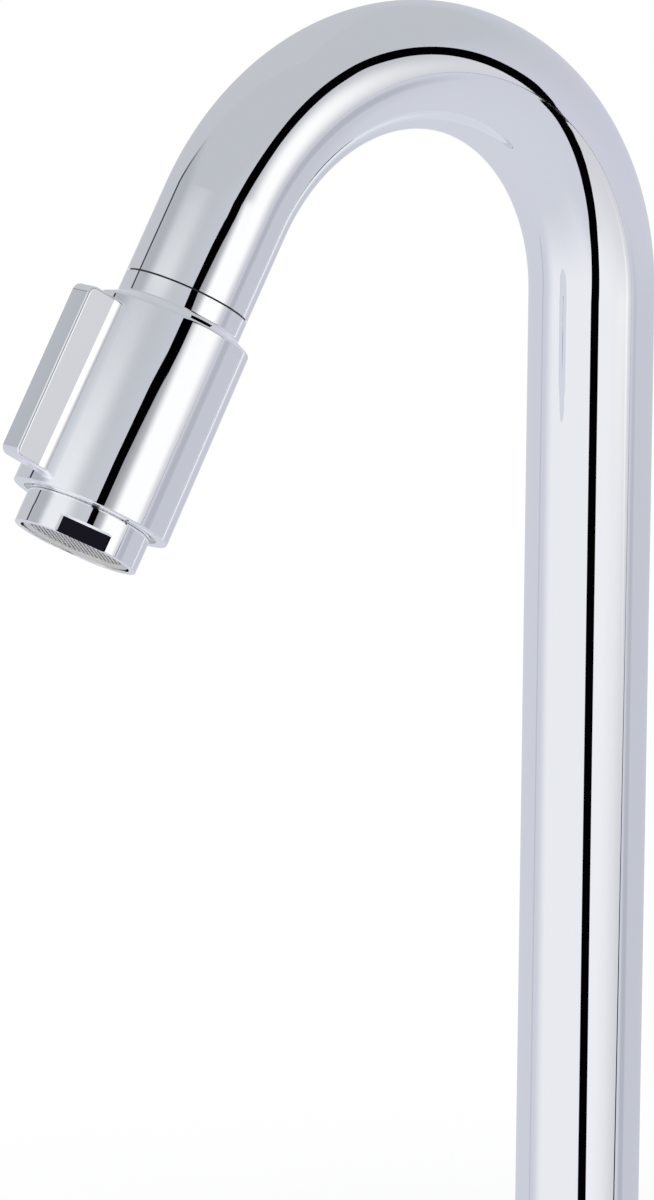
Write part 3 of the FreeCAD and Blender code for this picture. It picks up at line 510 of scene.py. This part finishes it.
def chrome(name):
    """Mirror-bright nickel and chrome plate, with the faintest ripple and haze left by polishing."""
    plate, tree, surface = new_material(name)
    ripple = grain(tree, ripple_size, 2)
    haze = grain(tree, haze_size, 4)
    tone = mixed(tree, haze, (*chrome_colour, 1), (*[part * chrome_wear for part in chrome_colour], 1))
    tree.links.new(tone, surface.inputs["Base Color"])
    surface.inputs["Metallic"].default_value = 1
    rough = wire(tree, "ShaderNodeMapRange", haze, *noise_spread, *chrome_rough)
    tree.links.new(rough, surface.inputs["Roughness"])
    bumpy(tree, surface, ripple, ripple_depth)
    return plate


def along_spout(height):
    """The middle of the tube and its way outwards from the bend, at a height up the tube in millimetres."""
    if height < column_height:
        return Vector((0, 0, height)), Vector((0, 1, 0))
    turned_by = min((height - column_height) / bend_radius, math.radians(bend_angle))
    outwards = Vector((0, math.cos(turned_by), math.sin(turned_by)))
    onwards = Vector((0, -math.sin(turned_by), math.cos(turned_by)))
    middle = Vector((0, -bend_radius, column_height)) + outwards * bend_radius
    past_bend = height - column_height - math.radians(bend_angle) * bend_radius
    return middle + onwards * max(past_bend, 0), outwards


bend_length = math.radians(bend_angle) * bend_radius
stations = [tube_low + (column_height - tube_low) * step / column_steps for step in range(column_steps)]
stations += [column_height + bend_length * step / bend_steps for step in range(bend_steps)]
stations += [column_height + bend_length + tip_straight * step / tip_steps for step in range(tip_steps + 1)]


def tube_ring(height, radius):
    """One ring of points round the tube."""
    middle, outwards = along_spout(height)
    sideways = Vector((1, 0, 0))
    turns = [2 * math.pi * side / tube_sides for side in range(tube_sides)]
    return [(middle + radius * (math.cos(a) * outwards + math.sin(a) * sideways)) * mm for a in turns]


outer_wall = [tube_ring(height, tube_radius) for height in stations]
inner_wall = [tube_ring(height, tube_radius - tube_wall) for height in reversed(stations)]
chromed_tube = chrome("chromed_tube")
spout = new_piece("spout", ring_mesh("spout", outer_wall + inner_wall), "tap", chromed_tube)
polish(spout)
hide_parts("spout_tube")


# The foot: a turned and chromed brass flange with a rounded rim, its spigot brazed into the column. A
# black rubber ring in its underside seals it to the deck.
turned_sides = 128
flange_radius = 25
flange_thickness = 6
flange_top_round = 2
flange_low_round = 0.2
spigot_radius = 12.46
spigot_top = 26
foot_bore = 7
thread_room = 10.52
thread_room_top = 17.5
groove_inner = 18.96
groove_outer = 22.04
groove_depth = 2
foot_ring_inner = 19
foot_ring_outer = 22
foot_ring_round = 0.3
rubber_black = (36, 36, 38)
rubber_bloom = (52, 52, 55)
rubber_rough = (0.55, 0.75)
rubber_gloss = 0.35
bloom_size = 6
pit_size = 0.35
pit_depth = 0.03


def rounded(corners, steps=6):
    """A closed outline from corners (radius, height) or (radius, height, rounding), in millimetres."""
    outline = []
    for index, corner in enumerate(corners):
        here = Vector(corner[:2])
        if len(corner) == 2:
            outline.append(here)
            continue
        back = (Vector(corners[index - 1][:2]) - here).normalized()
        on = (Vector(corners[(index + 1) % len(corners)][:2]) - here).normalized()
        half = back.angle(on) / 2
        middle = here + (back + on).normalized() * corner[2] / math.sin(half)
        first = here + back * corner[2] / math.tan(half) - middle
        sweep = first.angle_signed(here + on * corner[2] / math.tan(half) - middle)
        for step in range(steps + 1):
            arm = first.copy()
            arm.rotate(Matrix.Rotation(-sweep * step / steps, 2))
            outline.append(middle + arm)
    return outline


def turned(name, corners, place=Matrix(), sides=turned_sides, steps=6):
    """The mesh of a closed outline turned about the Z axis of its place."""
    turns = [2 * math.pi * side / sides for side in range(sides)]
    rings = [[place @ Vector((radius * math.cos(a), radius * math.sin(a), height)) * mm for a in turns]
             for radius, height in rounded(corners, steps)]
    return ring_mesh(name, rings)


foot = new_piece("foot_flange", turned("foot_flange", [
    (thread_room, 0), (groove_inner, 0), (groove_inner, groove_depth), (groove_outer, groove_depth),
    (groove_outer, 0), (flange_radius, 0, flange_low_round),
    (flange_radius, flange_thickness, flange_top_round),
    (spigot_radius, flange_thickness), (spigot_radius, spigot_top), (foot_bore, spigot_top),
    (foot_bore, thread_room_top), (thread_room, thread_room_top)]), "tap", chrome("chromed_foot"))
polish(foot)
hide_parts("foot")


def rubber(name):
    """Black sealing rubber, dull, with the fine pitting of its mould and a little bloom."""
    made, tree, surface = new_material(name)
    pits = grain(tree, pit_size, 2)
    bloom = grain(tree, bloom_size, 4)
    tone = mixed(tree, bloom, display(*rubber_black), display(*rubber_bloom))
    tree.links.new(tone, surface.inputs["Base Color"])
    rough = wire(tree, "ShaderNodeMapRange", bloom, *noise_spread, *rubber_rough)
    tree.links.new(rough, surface.inputs["Roughness"])
    surface.inputs["Specular IOR Level"].default_value = rubber_gloss
    bumpy(tree, surface, pits, pit_depth)
    return made


foot_ring = new_piece("foot_ring", turned("foot_ring", [
    (foot_ring_inner, 0, foot_ring_round), (foot_ring_outer, 0, foot_ring_round),
    (foot_ring_outer, groove_depth), (foot_ring_inner, groove_depth)]),
    "tap", rubber("foot_rubber"))
polish(foot_ring)
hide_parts("foot_seal")


# The threaded pipe that goes down through the deck, of turned brass. Its upper thread screws into the foot
# against a flat ring and takes the nut. Its lower thread, below a relief, takes the supply hose.
shank_radius = 10.4775
shank_bore = 7
thread_pitch = 1.814
thread_depth = 1.16
thread_rows = 8
thread_sides = 96
relief_radius = 9.2775
shank_chamfer = 1
shank_low = -68
relief_low = -53
relief_high = -50
shank_high = 16
same_place = 1e-7
tarnish_size = 5
tool_mark_size = 0.25
tool_mark_depth = 0.012
tool_mark_rough = 0.14
shank_brass = ((176, 138, 84), (214, 182, 122))


def lathe_marks(tree, place, size):
    """Noise in rings about the Z axis of a place, as a turning tool leaves it."""
    spin = place.to_3x3().inverted().to_euler()
    seen = wire(tree, "ShaderNodeVectorRotate", wire(tree, "ShaderNodeTexCoord", output=3), None, None, None,
                spin, rotation_type="EULER_XYZ")
    parts = tree.nodes.new("ShaderNodeSeparateXYZ")
    tree.links.new(seen, parts.inputs[0])
    radius = distance(tree, parts.outputs[0], parts.outputs[1])
    flat = wire(tree, "ShaderNodeCombineXYZ", radius, parts.outputs[2])
    return wire(tree, "ShaderNodeTexNoise", flat, None, 1000 / size, 4, 0.6)


def turned_metal(name, dark, bright, place=Matrix(), shine=0.22):
    """Bare turned metal with fine tool rings and some tarnish."""
    made, tree, surface = new_material(name)
    tarnish = grain(tree, tarnish_size, 5, 0.6)
    tone = mixed(tree, fade(tree, tarnish, *noise_spread), display(*bright), display(*dark))
    tree.links.new(tone, surface.inputs["Base Color"])
    surface.inputs["Metallic"].default_value = 1
    marks = lathe_marks(tree, place, tool_mark_size)
    rough = wire(tree, "ShaderNodeMapRange", marks, *noise_spread, shine, shine + tool_mark_rough)
    tree.links.new(rough, surface.inputs["Roughness"])
    bumpy(tree, surface, marks, tool_mark_depth)
    return made


def thread_step(low, height, side):
    """How deep the thread is cut at a height and a side of the pipe: 0 at its crest, 1 at its root."""
    phase = ((height - low) / thread_pitch - side / thread_sides) % 1
    slope = abs(2 * phase - 1)
    return slope * slope * (3 - 2 * slope)


def threaded(shape, low, high, limit):
    """Rows of a thread that climb with it, between two level ends. limit gives a radius's most."""
    rows = []
    count = math.ceil((high - low) / thread_pitch * thread_rows) + thread_rows
    for row in range(count + 1):
        ring = []
        for side in range(thread_sides):
            turned_by = 2 * math.pi * side / thread_sides
            climbed = low + thread_pitch * (row / thread_rows + side / thread_sides - 1)
            height = min(max(climbed, low), high)
            radius = shank_radius - thread_depth * thread_step(low, height, side)
            radius = min(radius, limit(height))
            spot = Vector((radius * math.cos(turned_by), radius * math.sin(turned_by), height))
            ring.append(shape.verts.new(spot * mm))
        rows.append(ring)
    for row in range(count):
        for side in range(thread_sides - 1):
            shape.faces.new((rows[row][side], rows[row][side + 1],
                             rows[row + 1][side + 1], rows[row + 1][side]))
        ahead = row + thread_rows
        if ahead < count:
            shape.faces.new((rows[row][-1], rows[ahead][0], rows[ahead + 1][0], rows[row + 1][-1]))
    return rows


def plain_ring(shape, radius, height):
    """One level ring of points."""
    turns = [2 * math.pi * side / thread_sides for side in range(thread_sides)]
    places = [Vector((radius * math.cos(a), radius * math.sin(a), height)) * mm for a in turns]
    return [shape.verts.new(place) for place in places]


def bridge(shape, first, second):
    """Faces between two rings of points."""
    for side in range(thread_sides):
        ahead = (side + 1) % thread_sides
        shape.faces.new((first[side], first[ahead], second[ahead], second[side]))


shape = bmesh.new()
inlet = threaded(shape, shank_low, relief_low,
                 lambda height: shank_radius - shank_chamfer + (height - shank_low))
fixing = threaded(shape, relief_high, shank_high, lambda height: shank_radius)
relief_foot = plain_ring(shape, relief_radius, relief_low)
relief_head = plain_ring(shape, relief_radius, relief_high)
bore_head = plain_ring(shape, shank_bore, shank_high)
bore_foot = plain_ring(shape, shank_bore, shank_low)
for chain in ([inlet[-1], relief_foot, relief_head, fixing[0]], [fixing[-1], bore_head, bore_foot, inlet[0]]):
    for first, second in zip(chain, chain[1:]):
        bridge(shape, first, second)
bmesh.ops.remove_doubles(shape, verts=shape.verts, dist=same_place)
bmesh.ops.dissolve_degenerate(shape, edges=shape.edges, dist=same_place)
mesh = bpy.data.meshes.new("threaded_shank")
shape.to_mesh(mesh)
shape.free()
cut_brass = turned_metal("cut_brass", *shank_brass)
shank = new_piece("threaded_shank", mesh, "tap", cut_brass)
polish(shank, 40)
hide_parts("shank")


# The clamp under the deck: a rubber gasket, a steel washer that spreads the load, and a brass hexagon nut
# with its corners turned down on both faces.
clamp_bore = 10.88
gasket_radius = 22
gasket_top = -30
gasket_low = -33
gasket_round = 0.5
gasket_bore_round = 0.3
washer_radius = 21
washer_low = -35
washer_low_round = 0.4
washer_high_round = 0.1
washer_bore_round = 0.15
nut_flat = 15
nut_low = -43
nut_high = -35
nut_bore = 10.52
nut_sides = 96
nut_tones = ((184, 147, 90), (220, 188, 128))
steel_dull = (186, 187, 190)
steel_bright = (206, 207, 210)
steel_rough = (0.25, 0.45)
steel_cloud_size = 4
scratch_stretch = (1, 12, 1)
scratches_each_metre = 600
scratch_depth = 0.008

gasket = new_piece("deck_gasket", turned("deck_gasket", [
    (clamp_bore, gasket_low, gasket_bore_round), (gasket_radius, gasket_low, gasket_round),
    (gasket_radius, gasket_top, gasket_round), (clamp_bore, gasket_top, gasket_bore_round)]),
    "tap", rubber("gasket_rubber"))
polish(gasket)
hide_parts("clamp_gasket")


def pressed_steel(name, dull=steel_dull, bright=steel_bright):
    """Stainless sheet, dull from rolling, with fine scratches one way."""
    made, tree, surface = new_material(name)
    place = wire(tree, "ShaderNodeTexCoord", output=3)
    place = wire(tree, "ShaderNodeMapping", place, None, None, scratch_stretch)
    scratches = wire(tree, "ShaderNodeTexNoise", place, None, scratches_each_metre, 4, 0.6)
    cloud = grain(tree, steel_cloud_size, 4)
    tone = mixed(tree, cloud, display(*dull), display(*bright))
    tree.links.new(tone, surface.inputs["Base Color"])
    surface.inputs["Metallic"].default_value = 1
    rough = wire(tree, "ShaderNodeMapRange", scratches, *noise_spread, *steel_rough)
    tree.links.new(rough, surface.inputs["Roughness"])
    bumpy(tree, surface, scratches, scratch_depth)
    return made


washer = new_piece("spread_washer", turned("spread_washer", [
    (clamp_bore, washer_low, washer_bore_round), (washer_radius, washer_low, washer_low_round),
    (washer_radius, gasket_low, washer_high_round), (clamp_bore, gasket_low, washer_high_round)]),
    "tap", pressed_steel("washer_steel"))
polish(washer)
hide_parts("clamp_washer")


def nut_ring(radius, height, drop=0):
    """One ring round the nut. radius None follows the six flats, and drop turns its corners down."""
    ring = []
    for side in range(nut_sides):
        turned_by = 2 * math.pi * side / nut_sides
        reach = radius or nut_flat / math.cos(turned_by % (math.pi / 3) - math.pi / 6)
        lower = drop * (reach - nut_flat) * math.tan(math.pi / 6)
        ring.append(Vector((reach * math.cos(turned_by), reach * math.sin(turned_by), height + lower)) * mm)
    return ring


nut = new_piece("hexagon_nut", ring_mesh("hexagon_nut", [
    nut_ring(nut_bore, nut_low), nut_ring(nut_flat, nut_low), nut_ring(None, nut_low, 1),
    nut_ring(None, nut_high, -1), nut_ring(nut_flat, nut_high), nut_ring(nut_bore, nut_high)]),
    "tap", turned_metal("nut_brass", *nut_tones))
polish(nut, 20)
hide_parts("mounting_nut")


# The ring that the handle turns on: dark low-friction plastic pressed on the bush in the tube's end. Its
# thin edge is the seam between the tube and the handle.
slide_bore = 11.04
slide_radius = 12.44
slide_length = 6
slide_rim_radius = 13.4
slide_rim_thickness = 0.35
slide_tones = ((20, 20, 22), (30, 30, 33))
plastic_rough = (0.38, 0.52)
plastic_cloud_size = 7
skin_size = 0.8
skin_depth = 0.01
handle_joint = frame["joints"][0]
head_axis = Vector(handle_joint["axis"])
head_side = head_axis.cross(Vector((1, 0, 0)))
head = Matrix((Vector((1, 0, 0)), head_side, head_axis)).transposed().to_4x4()
head.translation = Vector(handle_joint["pos_m"]) / mm


def plain_plastic(name, dark, bright):
    """Moulded plastic with a faint orange-peel skin."""
    made, tree, surface = new_material(name)
    skin = grain(tree, skin_size, 3)
    cloud = grain(tree, plastic_cloud_size, 3)
    tree.links.new(mixed(tree, cloud, display(*dark), display(*bright)), surface.inputs["Base Color"])
    rough = wire(tree, "ShaderNodeMapRange", skin, *noise_spread, *plastic_rough)
    tree.links.new(rough, surface.inputs["Roughness"])
    bumpy(tree, surface, skin, skin_depth)
    return made


slide = new_piece("slide_collar", turned("slide_collar", [
    (slide_bore, 0), (slide_rim_radius, 0), (slide_rim_radius, slide_rim_thickness),
    (slide_radius, slide_rim_thickness), (slide_radius, slide_length), (slide_bore, slide_length)], head),
    "tap", plain_plastic("slide_plastic", *slide_tones))
polish(slide)
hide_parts("slide_ring")


# The handle: neck, sleeve and wing, turned and milled from one piece of brass, polished and chromed. It
# turns with the splined spindle inside it.
neck_radius = 14
neck_bore = 12.52
neck_low = 0.4
neck_foot = 5.05
neck_round = 0.8
shoulder_rise = 1.65
shoulder_round = 0.8
sleeve_top_radius = 17.33
sleeve_radius = 17.75
sleeve_end = 51
sleeve_end_round = 0.4
sleeve_bore = 15.28
web_start = 22.5
web_end = 31.5
web_bore = 6.54
wing_start = 8.7
wing_upper_round = 2
wing_lower_round = 2
wing_end = 48.5
wing_root = 16.75
wing_reach = 26.5
wing_half = 3
wing_edge_round = 0.6
wing_edge_steps = 6
wing_corner_steps = 8


def capped(name, rings):
    """A mesh between rings of points with a face across each end."""
    mesh = ring_mesh(name, rings, closed=False)
    shape = bmesh.new()
    shape.from_mesh(mesh)
    shape.verts.ensure_lookup_table()
    count = len(rings[0])
    shape.faces.new(shape.verts[:count])
    shape.faces.new(shape.verts[-count:])
    bmesh.ops.recalc_face_normals(shape, faces=shape.faces)
    shape.to_mesh(mesh)
    shape.free()
    return mesh


def weld(piece, tool_mesh):
    """Weld another closed mesh to the piece."""
    tool = bpy.data.objects.new("tool", tool_mesh)
    bpy.context.scene.collection.objects.link(tool)
    step = piece.modifiers.new("combine", "BOOLEAN")
    step.operation = "UNION"
    step.solver = "EXACT"
    step.object = tool
    seen = piece.evaluated_get(bpy.context.evaluated_depsgraph_get())
    piece.data = bpy.data.meshes.new_from_object(seen)
    piece.modifiers.clear()
    bpy.data.objects.remove(tool)


def face_out(piece):
    """Turn every face of a closed piece to the outside."""
    shape = bmesh.new()
    shape.from_mesh(piece.data)
    bmesh.ops.recalc_face_normals(shape, faces=shape.faces)
    shape.to_mesh(piece.data)
    shape.free()


wing_rings = []
for side in (-1, 1):
    steps = list(range(wing_edge_steps + 1))
    for step in steps if side < 0 else reversed(steps):
        bend = math.pi / 2 * step / wing_edge_steps
        level = side * (wing_half - wing_edge_round * (1 - math.cos(bend)))
        inset = wing_edge_round * (1 - math.sin(bend))
        outline = rounded([
            (wing_root, wing_start + inset),
            (wing_reach - inset, wing_start + inset, wing_upper_round - inset),
            (wing_reach - inset, wing_end - inset, wing_lower_round - inset),
            (wing_root, wing_end - inset)], wing_corner_steps)
        wing_rings.append([head @ Vector((level, across, along)) * mm for across, along in outline])
handle = new_piece("handle_sleeve", turned("handle_sleeve", [
    (neck_bore, neck_low), (neck_radius, neck_low), (neck_radius, neck_foot, neck_round),
    (sleeve_top_radius, neck_foot + shoulder_rise, shoulder_round),
    (sleeve_radius, sleeve_end, sleeve_end_round), (sleeve_bore, sleeve_end), (sleeve_bore, web_end),
    (web_bore, web_end), (web_bore, web_start), (neck_bore, web_start)], head),
    "control", chrome("chromed_handle"))
face_out(handle)
weld(handle, capped("wing", wing_rings))
polish(handle, 25)
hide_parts("handle")


# The aerator screws into the nozzle inside the sleeve. Its chromed brass ring has an undercut above, two
# flats for a spanner at its end and a thin lip round its mouth.
ring_radius = 14
ring_bore = 12.1
ring_start = 44
ring_start_round = 0.2
undercut_radius = 13.5
undercut_start = 50.8
undercut_end = 51.4
undercut_round = 0.1
ring_end = 59
ring_end_round = 0.25
mouth_radius = 12.5
mouth_round = 0.15
mouth_floor = 57
flat_low = 55
flat_run_out = 0.4
flat_half = 12.75
flats_turn = math.radians(35.4)
ring_round_steps = 4


def ring_turn(radius, height, flats):
    """One ring of points of the aerator's ring, cut off by its two flats."""
    ring = []
    for side in range(2 * turned_sides):
        turned_by = math.pi * side / turned_sides
        reach = abs(math.cos(turned_by - flats_turn))
        cut = min(radius, flat_half / reach) if flats and reach * radius > flat_half else radius
        ring.append(head @ Vector((cut * math.cos(turned_by), cut * math.sin(turned_by), height)) * mm)
    return ring


upper_part = rounded([
    (ring_bore, ring_start), (ring_radius, ring_start, ring_start_round), (ring_radius, undercut_start),
    (undercut_radius, undercut_start), (undercut_radius, undercut_end),
    (ring_radius, undercut_end, undercut_round)], ring_round_steps)
lower_part = rounded([
    (ring_radius, ring_end, ring_end_round), (mouth_radius, ring_end, mouth_round),
    (mouth_radius, mouth_floor), (ring_bore, mouth_floor), (ring_bore, ring_start)], ring_round_steps)
aerator_rings = [ring_turn(radius, height, False) for radius, height in upper_part]
aerator_rings.append(ring_turn(ring_radius, flat_low, False))
aerator_rings.append(ring_turn(ring_radius, flat_low + flat_run_out, True))
aerator_rings += [ring_turn(radius, height, True) for radius, height in lower_part]
aerator_ring = new_piece("aerator_ring", ring_mesh("aerator_ring", aerator_rings), "control",
                         chrome("chromed_ring"))
polish(aerator_ring, 15)
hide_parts("aerator_housing")


# The screen across the mouth: fine flat stainless wires woven over and under each other, and pressed into
# a rim that stands on the aerator's cage and rises towards its outer edge.
screen_radius = 12.06
screen_rim = 1.5
screen_level = 57.95
rim_low = 57.7
rim_inner_high = 58.2
rim_outer_high = 58.7
rim_round = 0.1
rim_outer_round = 0.15
rim_sides = 96
rim_steps = 3
wire_space = 1.05
wire_halves = (0.34, 0.1)
wire_thick = 0.02
wire_sides = 8
wire_steps = 4
weave_turn = math.radians(50.5)
weave = head @ Matrix.Rotation(weave_turn, 4, "Z")
screen_dull = (222, 219, 212)
screen_bright = (242, 239, 232)


def woven_wire(across, phase, crossways):
    """The rings of one wire, bent over and under those that it crosses."""
    half = math.sqrt(max(screen_radius ** 2 - across ** 2, 0)) - screen_rim / 2
    count = max(2, math.ceil(2 * half / wire_space * wire_steps))
    rings = []
    for step in range(count + 1):
        along = -half + 2 * half * step / count
        lift = wire_thick * math.cos(math.pi * (along / wire_space - 0.5) + phase)
        ring = []
        for side in range(wire_sides):
            turned_by = 2 * math.pi * side / wire_sides
            beside = across + wire_halves[crossways] * math.cos(turned_by)
            height = screen_level + lift + wire_thick * math.sin(turned_by)
            spot = (beside, along, height) if crossways else (along, beside, height)
            ring.append(weave @ Vector(spot) * mm)
        rings.append(ring)
    return rings


shape = bmesh.new()
wires_aside = math.floor((screen_radius - screen_rim) / wire_space - 0.5)
for crossways in (False, True):
    for number in range(-wires_aside - 1, wires_aside + 1):
        strand = capped("strand", woven_wire((number + 0.5) * wire_space,
                                             math.pi * (number + crossways), crossways))
        shape.from_mesh(strand)
        bpy.data.meshes.remove(strand)
rim_inner = screen_radius - screen_rim
rim = turned("rim", [
    (rim_inner, rim_low, rim_round), (screen_radius, rim_low, rim_round),
    (screen_radius, rim_outer_high, rim_outer_round), (rim_inner, rim_inner_high, rim_round)],
    head, rim_sides, rim_steps)
shape.from_mesh(rim)
bpy.data.meshes.remove(rim)
mesh = bpy.data.meshes.new("woven_screen")
shape.to_mesh(mesh)
shape.free()
screen_steel = pressed_steel("screen_steel", screen_dull, screen_bright)
screen = new_piece("woven_screen", mesh, "control", screen_steel)
polish(screen, 40)
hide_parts("aerator_screen")


# What works inside the head, seen only when it is taken apart: bush, quarter-turn headwork with its two
# ceramic discs, hollow spindle, nozzle, seals and the aerator's plastic insert.
head_brass_tones = ((184, 147, 90), (222, 190, 130))
nickel_tones = ((170, 168, 162), (196, 195, 190))
nickel_shine = 0.12
cage_tones = ((58, 59, 62), (72, 73, 76))
bearing_tones = ((34, 34, 37), (48, 48, 51))
ceramic_tones = ((226, 224, 214), (236, 234, 226))
head_brass = turned_metal("head_brass", *head_brass_tones, head)
nickelled = turned_metal("nickelled_brass", *nickel_tones, head, nickel_shine)
inner_steel = pressed_steel("inner_steel")
inner_rubber = rubber("inner_rubber")
cage_plastic = plain_plastic("aerator_plastic", *cage_tones)
bearing_plastic = plain_plastic("bearing_plastic", *bearing_tones)
lapped = plain_plastic("lapped_ceramic", *ceramic_tones)
finishes = {
    "tip_bush": head_brass, "headwork_body": head_brass, "spindle": head_brass, "outlet_nozzle": nickelled,
    "circlip": inner_steel, "inlet_strainer": inner_steel, "thrust_washer": bearing_plastic,
    "aerator_cage": cage_plastic, "flow_regulator": cage_plastic,
    "fixed_disc": lapped, "moving_disc": lapped}
for seal in ("shank_seal", "headwork_seal", "seat_seal", "spindle_seals", "nozzle_seal", "aerator_gasket"):
    finishes[seal] = inner_rubber
for name, finish in finishes.items():
    node = frame["nodes"][name]
    node.data.materials.clear()
    node.data.materials.append(finish)
